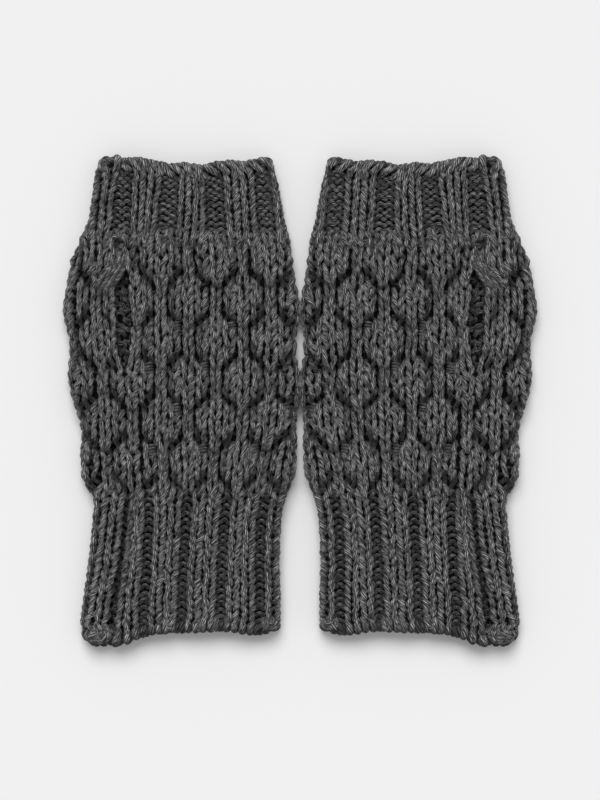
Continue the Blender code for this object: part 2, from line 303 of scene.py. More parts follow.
# ---------------------------------------------------------------- the yarn
# A soft charcoal yarn, twisted from eight fine strands of heathered wool. It is about two
# millimetres thick, and every course of the knitting is one length of it.
YARN = 1.04                 # radius
STRANDS = 8
LAY = 12.0                  # length of one full twist
UPPER_SIDES = 8             # faces round the yarn where it is seen most
UNDER_SIDES = 6
DEEP = -0.6                 # yarn this far behind the cloth's middle is out of the light
FORWARD = 2.0               # and this far in front of it is fully in the light
INSIDE_LIGHT = 0.3          # how much of this holds on the inside, seen through the slit
LEAST_LIT = 0.15            # what light is left in the depth
GROOVE_LIT = 0.10           # and in the grooves between two strands
GROOVE_SIDES = (0.12, 0.90)
FLECKS = (1.9, 0.42)        # how close the mixed greys lie, across the strands and along them
FLECK_GREYS = (0.44, 0.62)  # below the first the wool is dark, and above the second light
FIBRES = (6.0, 1.1)
FIBRE_SIDES = (0.3, 0.7)
FIBRE_TONES = (0.8, 1.15)
STRAND_HEIGHT = 0.40
FIBRE_HEIGHT = 0.3          # as a share of a strand's
NEXT_LENGTH = LAY * 0.37    # each length starts elsewhere in the twist
END_DOME = ((0.45, 0.7), (0.65, 0.0))   # how far past an end, and how full it is there
TOUCHING = 0.001            # points closer than this are one


def heathered_wool(name, dark, light):
    """Twisted strands that follow the yarn's own length and girth, in mixed greys, with painted
    shade: darker the further back in the cloth a place lies, and in the grooves between strands.
    """
    material = bpy.data.materials.new(name)
    material.use_nodes = True
    tree = material.node_tree
    shader = tree.nodes["Principled BSDF"]

    def add(kind, **settings):
        node = tree.nodes.new(kind)
        for key, value in settings.items():
            setattr(node, key, value)
        return node

    def reckon(operation, *values):
        node = add("ShaderNodeMath", operation=operation)
        for socket, value in zip(node.inputs, values):
            if isinstance(value, (int, float)):
                socket.default_value = value
            else:
                tree.links.new(value, socket)
        return node.outputs[0]

    def ramp(value, low, high, start, end):
        node = add("ShaderNodeMapRange", interpolation_type="SMOOTHSTEP")
        tree.links.new(value, node.inputs["Value"])
        node.inputs["From Min"].default_value = low
        node.inputs["From Max"].default_value = high
        node.inputs["To Min"].default_value = start
        node.inputs["To Max"].default_value = end
        return node.outputs["Result"]

    def wool_noise(across, along, detail):
        place = add("ShaderNodeCombineXYZ")
        tree.links.new(reckon("MULTIPLY", strand, across), place.inputs[0])
        tree.links.new(reckon("MULTIPLY", length, along), place.inputs[1])
        node = add("ShaderNodeTexNoise")
        node.inputs["Scale"].default_value = 1.0
        node.inputs["Detail"].default_value = detail
        node.inputs["Roughness"].default_value = 0.6
        tree.links.new(place.outputs[0], node.inputs["Vector"])
        return node.outputs["Fac"]

    split = add("ShaderNodeSeparateXYZ")
    tree.links.new(add("ShaderNodeUVMap", uv_map="yarn").outputs["UV"], split.inputs[0])
    length, girth_share = split.outputs[0], split.outputs[1]
    turned = reckon("ADD", girth_share, reckon("MULTIPLY", length, 1.0 / LAY))
    strand = reckon("MULTIPLY", turned, float(STRANDS))
    ridge = reckon("ABSOLUTE", reckon("SINE", reckon("MULTIPLY", strand, math.pi)))

    flecks = wool_noise(*FLECKS, detail=2.0)
    fibres = wool_noise(*FIBRES, detail=1.0)
    greys = add("ShaderNodeValToRGB")
    for stop, position, colour in zip(greys.color_ramp.elements, FLECK_GREYS, (dark, light)):
        stop.position = position
        stop.color = colour
    tree.links.new(flecks, greys.inputs["Fac"])

    # painted shade: the colour is darkened by the depth attribute, where yarn lies further back in
    # the cloth or in a crease, gutter or edge, and in the grooves between two strands; fibre_tone
    # is the wool's own uneven tone
    depth = add("ShaderNodeAttribute", attribute_name="depth").outputs["Fac"]
    lit = ramp(depth, DEEP, FORWARD, LEAST_LIT, 1.0)
    groove = ramp(ridge, *GROOVE_SIDES, GROOVE_LIT, 1.0)
    fibre_tone = ramp(fibres, *FIBRE_SIDES, *FIBRE_TONES)
    shade = reckon("MULTIPLY", lit, reckon("MULTIPLY", groove, fibre_tone))
    tone = add("ShaderNodeVectorMath", operation="SCALE")
    tree.links.new(greys.outputs["Color"], tone.inputs[0])
    tree.links.new(shade, tone.inputs["Scale"])
    tree.links.new(tone.outputs[0], shader.inputs["Base Color"])

    bump = add("ShaderNodeBump")
    bump.inputs["Strength"].default_value = 1.0
    bump.inputs["Distance"].default_value = STRAND_HEIGHT * MM
    height = reckon("ADD", ridge, reckon("MULTIPLY", fibres, FIBRE_HEIGHT))
    tree.links.new(height, bump.inputs["Height"])
    tree.links.new(bump.outputs["Normal"], shader.inputs["Normal"])

    shader.inputs["Roughness"].default_value = 0.92
    shader.inputs["Specular IOR Level"].default_value = 0.25
    shader.inputs["Sheen Weight"].default_value = 0.12
    shader.inputs["Sheen Roughness"].default_value = 0.45
    return material


WOOL = heathered_wool("heathered_wool", (0.032, 0.032, 0.033, 1.0), (0.475, 0.475, 0.48, 1.0))


def spin_yarn(name, side, lengths, sides, twist=1.0):
    """One mesh of round yarn from several lengths, each a list of (point, fullness, depth and
    the way out of the cloth there). Yarn that is drawn tight has lost some of its twist."""
    lengths = [rounded_ends(length) for length in lengths]
    curve = bpy.data.curves.new(name, "CURVE")
    curve.dimensions = "3D"
    curve.bevel_depth = YARN * MM
    curve.bevel_resolution = (sides - 4) // 2   # each step adds two sides to four
    for length in lengths:
        spline = curve.splines.new("POLY")
        spline.points.add(len(length) - 1)
        spline.points.foreach_set("co", [part for step in length for part in (*step[0], 1.0)])
        spline.points.foreach_set("radius", [fullness for _, fullness, *_ in length])
    guide = bpy.data.objects.new(name + "_guide", curve)
    bpy.context.scene.collection.objects.link(guide)
    bpy.context.view_layer.update()
    seen = guide.evaluated_get(bpy.context.evaluated_depsgraph_get())
    data = bpy.data.meshes.new_from_object(seen)
    data.name = name
    bpy.data.objects.remove(guide)
    bpy.data.curves.remove(curve)
    measure_yarn(data, side, lengths, sides, twist)
    mesh = bmesh.new()
    mesh.from_mesh(data)
    bmesh.ops.remove_doubles(mesh, verts=mesh.verts, dist=TOUCHING * MM)
    mesh.to_mesh(data)
    mesh.free()
    data.shade_smooth()
    data.materials.clear()
    data.materials.append(WOOL)
    piece = bpy.data.objects.new(name, data)
    bpy.context.scene.collection.objects.link(piece)
    return piece


def rounded_ends(length):
    """Close a length of yarn with a small dome at each end."""
    closed = []
    for (point, fullness, *rest), (following, *_) in (length[:2], length[:-3:-1]):
        outward = (point - following).normalized() * YARN * MM
        closed.append(
            [(point + reach * outward, share * fullness, *rest) for reach, share in END_DOME]
        )
    return closed[0][::-1] + length + closed[1]


def measure_yarn(data, side, lengths, sides, twist):
    """Give the yarn its real length in millimetres as U, its girth from 0 to 1 as V, and how far
    forward in the cloth each place of its surface lies, by which the wool is painted in shade. The
    lower layer shows both of its faces, one of them through the thumb slit, so there depth counts
    both ways and its inside is painted lighter."""
    shares = [0.0] * (2 * len(data.loops))
    data.uv_layers[0].data.foreach_get("uv", shares)
    corner = 0
    run = 0.0
    for length in lengths:
        marks = [run]
        for (start, *_), (end, *_) in zip(length, length[1:]):
            marks.append(marks[-1] + twist * (end - start).length / MM)
        run = marks[-1] + NEXT_LENGTH
        last = len(length) - 1
        for _ in range(last * sides * 4):       # four corners to a face
            place = shares[2 * corner]
            shares[2 * corner] = marks[min(last, round(place * last))]
            shares[2 * corner + 1] *= side
            corner += 1
    data.uv_layers[0].data.foreach_set("uv", shares)
    data.uv_layers[0].name = "yarn"
    rings = [step for length in lengths for step in length for _ in range(sides)]
    depths = [
        depth + (vert.co - point).dot(outward) / MM
        for vert, (point, _, depth, outward) in zip(data.vertices, rings)
    ]
    if sides == UNDER_SIDES:
        depths = [max(depth, -INSIDE_LIGHT * depth) for depth in depths]
    data.attributes.new("depth", "FLOAT", "POINT").data.foreach_set("value", depths)


# ---------------------------------------------------------------- knitting
# Every stitch is a loop: it comes up from between two stitches, crosses in front of the
# one below as two legs, and its head lies behind. A purl stitch is the same loop from behind.
STEPS = 16                  # points along one stitch where it is seen most
UNDER_STEPS = 11
DEPTH = 0.95                # how far the yarn goes to the front and back
CHANGE = 0.16               # share of a stitch in which the yarn changes face
PURL_CONTRAST = 2.1         # only the very front of a purl bump is in the light
PURL_RISE = 0.83            # and it is lower than a knit stitch
KNIT_SWELL = -0.06          # how much fuller the yarn is at the heads of a knit stitch
PURL_SWELL = 0.2            # and at the bumps of a purl one
UNDER_SLACK = 1.2           # the lower layer lies slack, so its yarn is fuller
LEAN_RANGE = (0.7, 1.3)     # no two stitches are quite alike
RISE_RANGE = (0.92, 1.06)
UNREST_ACROSS = 1.3         # how quickly the unevenness changes, by wales
UNREST_ALONG = 0.5          # and by millimetres
OTHER_UNREST = Vector((0.0, 0.0, 40.0))
FULLNESS_UNREST = 0.16
FULLNESS_SCALE = 1.7


def face_of(columns, wale, change):
    """+1 in a knit column and -1 in a purl one, changing softly where the two meet."""
    number = int(math.floor(wale))
    count = len(columns)
    here = 1.0 if columns[number % count] == "k" else -1.0
    part = wale - number
    if part < change:
        before = 1.0 if columns[(number - 1) % count] == "k" else -1.0
        return mix(before, here, 0.5 + 0.5 * ease(part / change))
    if part > 1.0 - change:
        after = 1.0 if columns[(number + 1) % count] == "k" else -1.0
        return mix(here, after, 0.5 * ease((part - 1.0 + change) / change))
    return here


def laid(side, y, round_, out, fullness, depth):
    """One step of a length of yarn: its place, fullness, depth and the way out of the cloth.
    Underneath, the yarn is pressed flat by what it lies on."""
    place = on_tube(side, y, round_, out)
    outward = (on_tube(side, y, round_, out + 1.0) - place) / MM
    place.z = max(place.z, YARN * fullness * MM)
    return place, fullness, depth, outward


# How high a loop stands, how far its legs lean, how unevenly it lies across and along, and
# how full its yarn is, with the share of that which is left in purl columns.
Loops = namedtuple("Loops", "rise lean unrest unrest_up fullness purl_fullness")


def course(side, first, last, steps, columns, level, loops, place, chance):
    """One length of yarn through the stitches of a row. place(wale, y) says where round the
    tube a wale runs, how far the cloth stands out there, and how far it is out of the light."""
    points = []
    count = int(round((last - first) * steps))
    leaning = loops.lean
    rising = loops.rise
    for step in range(count + 1):
        wale = first + (last - first) * step / count
        part = wale - math.floor(wale)
        if part < 0.5 / steps:
            leaning = loops.lean * chance.uniform(*LEAN_RANGE)
            rising = loops.rise * chance.uniform(*RISE_RANGE)
        turn = 2.0 * math.pi * part
        face = face_of(columns, wale, CHANGE)
        spot = Vector((wale * UNREST_ACROSS, level * UNREST_ALONG, 0.0))
        loop = wale + leaning * math.sin(2.0 * turn) + loops.unrest * noise.noise(spot)
        shifted = loops.unrest_up * noise.noise(spot + OTHER_UNREST)
        knit_share = 0.5 + 0.5 * face
        y = level - rising * math.cos(turn) * mix(PURL_RISE, 1.0, knit_share) + shifted
        out = -DEPTH * math.cos(2.0 * turn) * face
        round_, y, relief, shade = place(loop, y)
        swell = mix(PURL_SWELL, KNIT_SWELL, knit_share)
        fullness = 1.0 + swell * math.cos(2.0 * turn)
        fullness += FULLNESS_UNREST * noise.noise(spot * FULLNESS_SCALE)
        fullness *= loops.fullness * mix(UNDER_SLACK, 1.0, above(y, round_))
        fullness *= mix(loops.purl_fullness, 1.0, knit_share)
        depth = out * mix(PURL_CONTRAST, 1.0, knit_share) - shade
        points.append(laid(side, waved(y, round_), round_, relief + out, fullness, depth))
    return points


# A part runs from its first wale to its last, and is either seen from above or not.
Part = namedtuple("Part", "piece first last seen")


def knit(name, side, columns, levels, parts, loops, place):
    """Knit a stretch of tube, row by row, and spin the yarn of each of its pieces."""
    chance = random.Random(7)
    lengths = {part.piece: [] for part in parts}
    for level in levels:
        for part in parts:
            steps = STEPS if part.seen else UNDER_STEPS
            lengths[part.piece].append(
                course(side, part.first, part.last, steps, columns, level, loops, place, chance)
            )
    sides = {part.piece: UPPER_SIDES if part.seen else UNDER_SIDES for part in parts}
    return [spin_yarn(name + "_" + piece, side, lengths[piece], sides[piece]) for piece in lengths]


def spaced(start, end, count):
    """The middles of equal rows between two places."""
    return [mix(start, end, (row + 0.5) / count) for row in range(count)]


# ---------------------------------------------------------------- the hand
# The middle of each warmer is in bubble stitch: three stitches swell into a bubble four
# rows high, and the fourth is drawn in behind between two bubbles. Rows of bubbles are
# set half a repeat apart. The back layer is plain.
HAND_WALES = 32
HAND_COLUMNS = "k" * HAND_WALES
HAND_ROWS = 25
HAND_OVERLAP = 1.6          # how far its last row reaches into the finger rib
HAND_ENDS = 1.6             # and it has gone down behind the rib by here
HAND_DIVE = 2.6
TOP_CREASE = 65.0           # the highest bubbles are creased, and painted in shade, where the rib starts
TOP_CREASE_WIDTH = 1.1
TOP_CREASE_DEPTH = 0.7      # as a share of the bubble's height
HAND_LOOPS = Loops(3.65, 0.2, 0.2, 2.0, 0.97, 1.0)
REPEAT = 22.55              # four stitches across
STITCH = REPEAT / 4.0
BUBBLE_ROW = 16.73
BUBBLE_ACROSS = 45.7        # one bubble's centre
BUBBLE_UP = 39.6
BUBBLE_WALE = 4.5           # the same centre, counted in wales from the seam
COLUMN_WALES = 2.0          # from one column of bubbles to the next
BUBBLE_ROUND = 3            # the higher this power, the flatter a bubble's top
NECK_HALF_WIDTH = 0.5       # in wales
BUBBLE_OPENS = 9.8          # a bubble widens this far above its centre
BUBBLE_FLANK = 3.0          # over twice this length
CREASE_DEPTH = 1.6          # the crease round a bubble: how deep it sinks, and how much painted shade it gets
CREASE_WIDTH = 1.3
CREASE_PUSH = 0.5           # how far the stitches part along it
CREASE_REACH = 1.7
SHARP_FLANK = 0.8           # a bubble's outer flank is creased all the way up
PIT_DEPTH = 1.3             # the stitches part most at the corners of a bubble, and sink there into painted shade
PIT_REACH = 1.5
PIT_TALL = 2.4
PIT_PUSH = 0.5
WANDER = 0.16               # how unevenly the bubbles are set, in wales
WANDER_UP = 1.6             # this much more so along than across
WANDER_SCALE = 0.09
OTHER_WANDER = Vector((50.0, 0.0, 0.0))
COUNTED_BACK = 20.0         # wales past this are counted back from the seam
INNER_WALES = 12.0          # wales from the seam to the inner fold
OUTER_WALES = 27.0          # the wale from which the back layer is pulled towards the slit
SETTLED_WALES = 2.0         # from here on, away from the seam, the bubbles are evenly set
SLIT_PLAIN = 1.5            # the bubbles die out this near the slit
SLIT_FLANK = 4.5            # over this length

Squeeze = namedtuple("Squeeze", "y share")
SQUEEZE = (                 # towards both ribs the stitches are drawn together
    Squeeze(-38.0, 0.87),
    Squeeze(-26.0, 0.91),
    Squeeze(-14.0, 0.97),
    Squeeze(0.0, 1.0),
    Squeeze(56.0, 1.0),
    Squeeze(67.0, 0.96),
)


Swell = namedtuple("Swell", "along height")
COLUMN_SWELL = (            # height of a bubble and of the neck below and above it
    Swell(-16.8, 0.1),
    Swell(-12.0, 0.2),
    Swell(-10.0, 1.0),
    Swell(-8.0, 1.7),
    Swell(-4.0, 2.0),
    Swell(0.0, 2.0),
    Swell(4.0, 1.7),
    Swell(8.0, 1.0),
    Swell(11.5, 0.4),
    Swell(16.8, 0.1),
)


Crease = namedtuple("Crease", "along strength")
CREASE_STRENGTH = (         # deepest under a bubble's lower corners
    Crease(0.0, 0.35),
    Crease(4.0, 0.45),
    Crease(7.5, 0.95),
    Crease(12.5, 1.0),
    Crease(14.0, 0.6),
    Crease(16.8, 0.35),
)


Corner = namedtuple("Corner", "aside along")
UPPER_CORNERS = (Corner(3.9, 12.2), Corner(7.3, 8.4))
CORNERS = UPPER_CORNERS + tuple(
    Corner(REPEAT / 2.0 - corner.aside, corner.along - BUBBLE_ROW) for corner in UPPER_CORNERS
)


def column_width(along):
    """Half the width, in wales, of a column that is a bubble here and a neck there."""
    upper = 0.5 + (BUBBLE_OPENS - along) / (2.0 * BUBBLE_FLANK)
    lower = 0.5 + (along - BUBBLE_OPENS + BUBBLE_ROW) / (2.0 * BUBBLE_FLANK)
    return NECK_HALF_WIDTH + min(1.0, max(0.0, upper)) * min(1.0, max(0.0, lower))


def bubble(wale, y):
    """How the bubble stitch moves a place of the cloth: across, along, and out, and how deep its
    crease is, which is painted in shade as much.
    """
    wale = wale if wale < COUNTED_BACK else wale - HAND_WALES
    spot = Vector((wale * STITCH, y, 0.0)) * WANDER_SCALE
    wale += WANDER * noise.noise(spot)
    y += WANDER * STITCH * WANDER_UP * noise.noise(spot + OTHER_WANDER)
    column = math.floor((wale - BUBBLE_WALE) / COLUMN_WALES)
    for near in (column, column + 1):
        centre = BUBBLE_WALE + COLUMN_WALES * near
        middle = BUBBLE_UP + (BUBBLE_ROW if near % 2 else 0.0)
        along = (y - middle + BUBBLE_ROW) % (2.0 * BUBBLE_ROW) - BUBBLE_ROW
        half = column_width(along)
        aside = wale - centre
        if abs(aside) <= half:
            break
    share = min(1.0, abs(aside) / half)
    height = between(COLUMN_SWELL, "along", "height", along)
    height *= math.sqrt(1.0 - share ** BUBBLE_ROUND)
    slope = (column_width(along + 0.5) - column_width(along - 0.5)) * STITCH
    steep = math.hypot(1.0, slope)
    inside = (half - abs(aside)) * STITCH / steep
    strength = between(CREASE_STRENGTH, "along", "strength", along % BUBBLE_ROW)
    if (aside < 0.0) == (half > 1.0):
        strength = max(strength, SHARP_FLANK)
    # painted shade: a crease is darkened as much as it sinks
    crease_and_shade = strength * CREASE_DEPTH * math.exp(-((inside / CREASE_WIDTH) ** 2))
    parting = strength * CREASE_PUSH * math.exp(-((inside / CREASE_REACH) ** 2))
    across = -parting / steep * min(1.0, share * 2.0)
    up = parting * slope / steep
    for corner in CORNERS:
        over = abs(aside) * STITCH - corner.aside
        rise = along - corner.along
        pit = math.exp(-((over / PIT_REACH) ** 2) - (rise / PIT_TALL) ** 2)
        across += PIT_PUSH * over * pit
        up += PIT_PUSH * rise * pit
        crease_and_shade += PIT_DEPTH * pit
    return math.copysign(1.0, aside) * across, up, height - crease_and_shade, crease_and_shade


def slit_gap(y, round_):
    """Distance from the slit's nearer lip."""
    start, end = seam_ends(max(SLIT_FOOT, min(SLIT_TOP, y)))
    aside = min(abs(round_ - start), abs(round_ - end))
    return math.hypot(aside, max(0.0, y - SLIT_TOP, SLIT_FOOT - y))


def hand_place(wale, y):
    """Where a place of the hand lies round and along the tube, its relief and its shade."""
    outer, _ = crowns(y)
    pitch = between(SQUEEZE, "y", "share", y) * STITCH
    start, end = seam_ends(y)
    across, along, relief, crease_and_shade = bubble(wale, y)
    lattice = outer - (BUBBLE_ACROSS + (BUBBLE_WALE - wale) * pitch)
    if wale < INNER_WALES:
        settled = ease(wale / SETTLED_WALES)
        round_ = mix(start + wale * pitch, lattice, settled)
    else:
        inner_mark = outer - (BUBBLE_ACROSS + (BUBBLE_WALE - INNER_WALES) * pitch)
        closed = outer - between(SEAM, "y", "inner", SLIT_FOOT) + girth(y)
        even = (closed - inner_mark) / (HAND_WALES - INNER_WALES)
        outer_mark = inner_mark + (OUTER_WALES - INNER_WALES) * even
        if wale < OUTER_WALES:
            round_ = inner_mark + (wale - INNER_WALES) * even
        else:
            round_ = mix(outer_mark, end, (wale - OUTER_WALES) / (HAND_WALES - OUTER_WALES))
    calm = ease((slit_gap(y, round_) - SLIT_PLAIN) / SLIT_FLANK) * above(y, round_)
    calm *= ease((FINGER_SEAM + HAND_ENDS - y) / HAND_DIVE)
    # painted shade: where the rib starts, the top bubbles' crease is darkened as much as it sinks
    under_rib = max(0.0, relief) * TOP_CREASE_DEPTH
    under_rib *= math.exp(-(((y - TOP_CREASE) / TOP_CREASE_WIDTH) ** 2))
    relief -= under_rib
    crease_and_shade += under_rib
    return round_ + calm * across, y + calm * along, calm * relief, calm * crease_and_shade


knitted = {"left": [], "right": []}
HAND_PARTS = (
    Part("hand_bubbles", 0.0, 14.0, True),
    Part("hand_back", 14.0, 27.0, False),
    Part("hand_bubbles", 27.0, 32.0, True),
)
for name, side in SIDES:
    levels = spaced(WRIST_SEAM, FINGER_SEAM + HAND_OVERLAP, HAND_ROWS)
    knitted[name] += knit(
        name, side, HAND_COLUMNS, levels, HAND_PARTS, HAND_LOOPS, hand_place
    )

# ---------------------------------------------------------------- the turned-over strip
# At the slit's upper outer corner the edge stitches roll over the hand. They show as a
# slanting band of long drawn stitches, two columns wide, that ends beside the slit.
STRIP_TOP = (71.6, 62.2)    # across and up, from the middle plane
STRIP_FOOT = (82.2, 43.6)
STRIP_ROWS = 7
STRIP_ROW = 2.6
STRIP_BOW = 1.0             # how far its middle bends towards the slit
STRIP_OUT = 2.9             # how high it stands
STRIP_SINK = 1.0            # less this much, by which it is pressed into the hand
STRIP_BLUNT = 0.35          # the lower this power, the more suddenly it rises at its ends
STRIP_CURVE = 0.08          # how it falls away to both sides
STRIP_FULLNESS = 0.84
STRIP_SHADE = 0.8
STRIP_TWIST = 0.8
LEG_LENGTH = 6.0
LEG_STEPS = 8
LEG_ENDS = 0.25             # how high a leg's ends stand, as a share of its middle

Leg = namedtuple("Leg", "aside lean")
STRIP_LEGS = (              # the two legs of each stitch, from the strip's middle line
    Leg(-2.7, 0.5),
    Leg(-0.9, -0.5),
    Leg(0.9, 0.5),
    Leg(2.7, -0.5),
)


def turned_strip(side):
    """The strip's legs, each a short length of yarn that rises out of the cloth and dips in."""
    lengths = []
    run = Vector(STRIP_FOOT) - Vector(STRIP_TOP)
    way = run.normalized()
    across_way = Vector((way.y, -way.x))
    for leg in STRIP_LEGS:
        for row in range(STRIP_ROWS):
            length = []
            for step in range(LEG_STEPS + 1):
                share = step / LEG_STEPS
                along = row * STRIP_ROW + LEG_LENGTH * share
                bow = math.sin(math.pi * min(1.0, along / run.length))
                aside = leg.aside + leg.lean * (2.0 * share - 1.0) + STRIP_BOW * bow
                across, y = Vector(STRIP_TOP) + way * along + across_way * aside
                outer, _ = crowns(y)
                bulge = mix(LEG_ENDS, 1.0, math.sin(math.pi * share))
                out = STRIP_OUT * bow ** STRIP_BLUNT * bulge - STRIP_SINK
                out -= STRIP_CURVE * leg.aside ** 2
                depth = out - STRIP_SHADE
                length.append(laid(side, y, outer - across, out, STRIP_FULLNESS, depth))
            lengths.append(length)
    return lengths


for name, side in SIDES:
    strip = spin_yarn(
        name + "_turned_strip", side, turned_strip(side), UPPER_SIDES, STRIP_TWIST
    )
    knitted[name].append(strip)

# ---------------------------------------------------------------- the gathered strands
# Under each bubble its stitches are caught up, and the strands of the rows that were let
# down show at one side of the catch as five short rungs.
RUNGS = 5
RUNG_COLUMNS = range(-2, 5)  # all the bubbles' columns and rows that come near
RUNG_ROWS = range(-3, 2)
RUNG_SHARE = 0.6            # the rest are hidden by the bubble above them
SEAM_CLEAR = 0.5            # in wales; none show nearer to the hand's borders than this
WRIST_CLEAR = 4.0
FINGER_CLEAR = 3.0
SLIT_CLEAR = 6.0
RUNG_ASIDE = -0.82          # in wales, from the middle of the bubble above
RUNG_ALONG = -10.4          # and this far below it
RUNG_APART = 1.2
RUNG_LENGTH = 3.0
RUNG_SLANT = 0.3
RUNG_OUT = 0.4
RUNG_BOW = 0.9
RUNG_FULLNESS = 0.5
RUNG_SHADE = 0.6
RUNG_STEPS = 6


def rungs(side):
    chance = random.Random(11)
    lengths = []
    for column in RUNG_COLUMNS:
        wale = BUBBLE_WALE + COLUMN_WALES * column + RUNG_ASIDE
        middle = BUBBLE_UP + (BUBBLE_ROW if column % 2 else 0.0) + RUNG_ALONG
        for row in RUNG_ROWS:
            level = middle + 2.0 * BUBBLE_ROW * row
            inside = WRIST_SEAM + WRIST_CLEAR < level < FINGER_SEAM - FINGER_CLEAR
            if wale <= SEAM_CLEAR or not inside:
                continue
            round_, *_ = hand_place(wale, level)
            if slit_gap(level, round_) < SLIT_CLEAR or chance.random() > RUNG_SHARE:
                continue
            for rung in range(RUNGS):
                middle_y = level + (rung - (RUNGS - 1) / 2.0) * RUNG_APART
                run = []
                for step in range(RUNG_STEPS + 1):
                    share = 2.0 * step / RUNG_STEPS - 1.0
                    out = RUNG_OUT + RUNG_BOW * (1.0 - share * share)
                    place = round_ + share * RUNG_LENGTH / 2.0
                    y = middle_y + RUNG_SLANT * share
                    run.append(laid(side, y, place, out, RUNG_FULLNESS, out - RUNG_SHADE))
                lengths.append(run)
    return lengths


for name, side in SIDES:
    knitted[name].append(spin_yarn(name + "_gathered_strands", side, rungs(side), UNDER_SIDES))

# ---------------------------------------------------------------- the ribs
# Both ends are ribbed: columns of knit stitches stand forward and columns of purl ones
# sink back between them. The wrist has two knit and one purl, the fingers two and two.
Gutter = namedtuple("Gutter", "hand_end edge_end hand_width edge_width")
WRIST_GUTTERS = (
    Gutter(0.300, 0.318, 3.5, 3.5),
    Gutter(0.497, 0.505, 3.5, 3.5),
    Gutter(0.700, 0.700, 3.5, 3.5),
    Gutter(0.892, 0.900, 3.5, 3.5),
)
FINGER_GUTTERS = (
    Gutter(0.400, 0.425, 8.0, 6.2),
    Gutter(0.650, 0.660, 8.0, 6.2),
    Gutter(0.900, 0.925, 6.4, 5.2),
)
WRIST_COLUMNS = "kk" + "pkk" * 9
FINGER_COLUMNS = "pkkp" * 8
WRIST_FIRST = 0.5           # the seam takes up half a stitch of the wrist
WRIST_LAST = 29.0
FINGER_WALES = 32
WRIST_ROWS = 19
FINGER_ROWS = 11
WRIST_ROW = 2.95
FINGER_START = 63.5         # its first row reaches over the hand
FINGER_STOP = 94.8
WRIST_LOOPS = Loops(2.6, 0.19, 0.16, 0.8, 1.02, 0.66)
FINGER_LOOPS = Loops(2.6, 0.17, 0.12, 0.6, 0.99, 0.74)
GUTTER_DEPTH = 1.7          # how far purl columns sink
WRIST_SHADE = 1.2           # and how much of that they are out of the light
FINGER_SHADE = 0.95
GUTTER_RUN = 5.0            # they sink over this length from the hand
GUTTER_START = 0.3          # the share of that slope which lies hidden behind the hand
GUTTER_BANK = 0.42          # share of a stitch in which a band slopes down to them
FOOT_SHADE = 2.2            # painted shade at the foot of a gutter, where it tucks in behind the hand
FOOT_START = 0.6
FOOT_FADE = 0.8             # for each millimetre from the hand
BAND_CROWN = 0.25           # how far knit bands swell
SEAM_DEPTH = 1.5            # the furrow along the wrist's seam, sunk this deep and painted in shade as much
SEAM_REACH = 2.6
SEAM_GAP = 0.8
NO_SEAM = 9.0               # the fingers' seam runs in a gutter and has no furrow of its own
SEAM_GUTTER = (4.0, 3.1)    # half of that gutter's width, at the hand and at the edge
KNIT_WIDTH = 6.1            # the back layer is shared out among its columns by these
WRIST_PURL_WIDTH = 3.5
FINGER_PURL_WIDTH = 3.8

Band = namedtuple("Band", "first last width")
WRIST_LAST_BAND = Band(27.0, WRIST_LAST, 13.2)  # the knit band beyond the seam
FINGER_LAST_BAND = Band(29.0, 31.0, 12.4)


def rib_marks(y, seam_y, edge_y, gutters, first_wale, repeat, purls):
    """(wale, place round the tube) at both banks of each gutter on the upper layer."""
    share = (y - seam_y) / (edge_y - seam_y)
    crown, _ = crowns(y)
    outer = between(OUTLINE, "y", "outer", y)
    inner = between(OUTLINE, "y", "inner", y)
    marks = []
    wale = first_wale
    for gutter in gutters:
        centre = outer - mix(gutter.hand_end, gutter.edge_end, share) * (outer - inner)
        half = mix(gutter.hand_width, gutter.edge_width, share) / 2.0
        marks += [(wale, crown - centre - half), (wale + purls, crown - centre + half)]
        wale += repeat
    return marks


def along_marks(marks, wale):
    for (low, start), (high, end) in zip(marks, marks[1:]):
        if wale <= high:
            return mix(start, end, (wale - low) / (high - low))
    return marks[-1][1]


def evened(marks, columns, knit_width, purl_width):
    """Fill the gap between the last two marks with columns of their natural proportions."""
    (first, start), (last, end) = marks[-2:]
    widths = [
        knit_width if columns[number % len(columns)] == "k" else purl_width
        for number in range(int(first), int(last))
    ]
    filled = []
    reached = 0.0
    for number, width in enumerate(widths[:-1]):
        reached += width
        filled.append((first + number + 1.0, mix(start, end, reached / sum(widths))))
    return filled


def sunk(columns, wale, y, round_, start, end, gutter_shade):
    """Purl columns and the seam lie lower than knit bands, and out of the light."""
    face = face_of(columns, wale, GUTTER_BANK)
    upper = above(y, round_)
    from_hand = max(WRIST_SEAM - y, y - FINGER_SEAM)
    purl_share = 0.5 - 0.5 * face
    gutter = GUTTER_DEPTH * purl_share * ease(GUTTER_START + from_hand / GUTTER_RUN)
    foot = FOOT_SHADE * purl_share * ease(FOOT_START - FOOT_FADE * from_hand)
    near_seam = min(abs(round_ - start), abs(round_ - end))
    seam = SEAM_DEPTH * ease(1.0 - near_seam / SEAM_REACH)
    return BAND_CROWN * upper - gutter - seam, gutter_shade * gutter + seam + foot


def wrist_place(wale, y):
    start, end = seam_ends(y)
    start, end = start + SEAM_GAP, end - SEAM_GAP
    marks = [(WRIST_FIRST, start)]
    marks += rib_marks(
        y, WRIST_SEAM, WRIST_EDGE, WRIST_GUTTERS, first_wale=2.0, repeat=3.0, purls=1.0
    )
    band = WRIST_LAST_BAND
    banks = [(band.first, end - band.width), (band.last, end)]
    marks += evened(marks[-1:] + banks[:1], WRIST_COLUMNS, KNIT_WIDTH, WRIST_PURL_WIDTH) + banks
    round_ = along_marks(marks, wale)
    return round_, y, *sunk(WRIST_COLUMNS, wale, y, round_, start, end, WRIST_SHADE)


